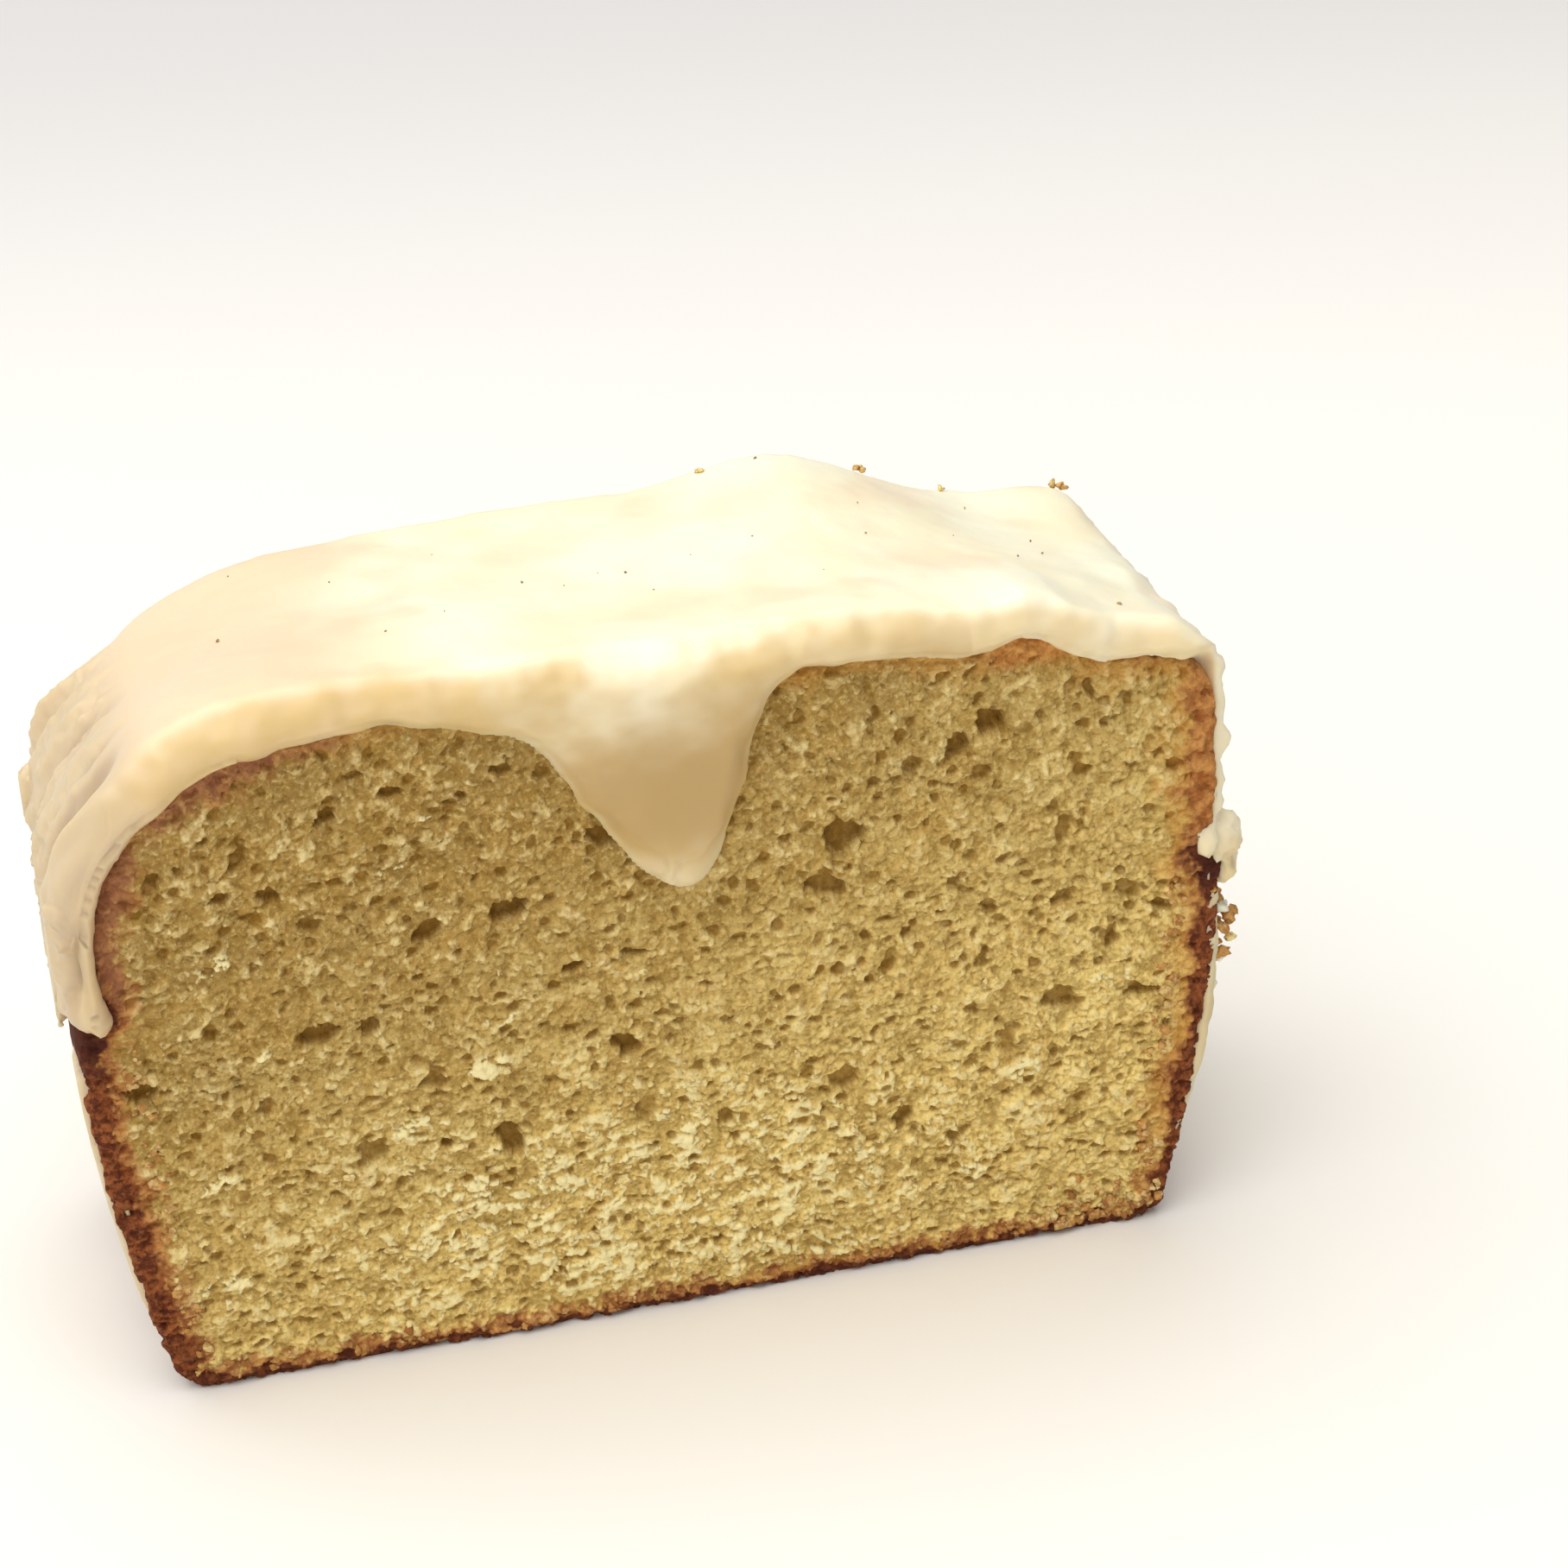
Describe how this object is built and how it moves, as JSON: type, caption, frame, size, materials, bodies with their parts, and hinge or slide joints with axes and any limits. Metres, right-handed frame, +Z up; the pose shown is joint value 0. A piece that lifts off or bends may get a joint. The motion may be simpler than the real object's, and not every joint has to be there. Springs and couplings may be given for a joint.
{
  "type": "vanilla pound cake",
  "caption": "Thick slice of iced vanilla pound cake, standing on its base crust, with a pale glaze over its top and sides and a drip down the front cut.",
  "frame": {"origin": "bottom centre of the slice's bounding box, on the plane of the base crust", "axes": "+X to the right along the front cut, +Y from the front cut to the back cut, +Z up"},
  "size_m": [0.115, 0.0416, 0.0747],
  "materials": {
    "cake": "matte, open crumb with a browned crust",
    "icing": "satin"
  },
  "bodies": {
    "root": {"cake": "cake", "icing": "icing"}
  },
  "joints": []
}
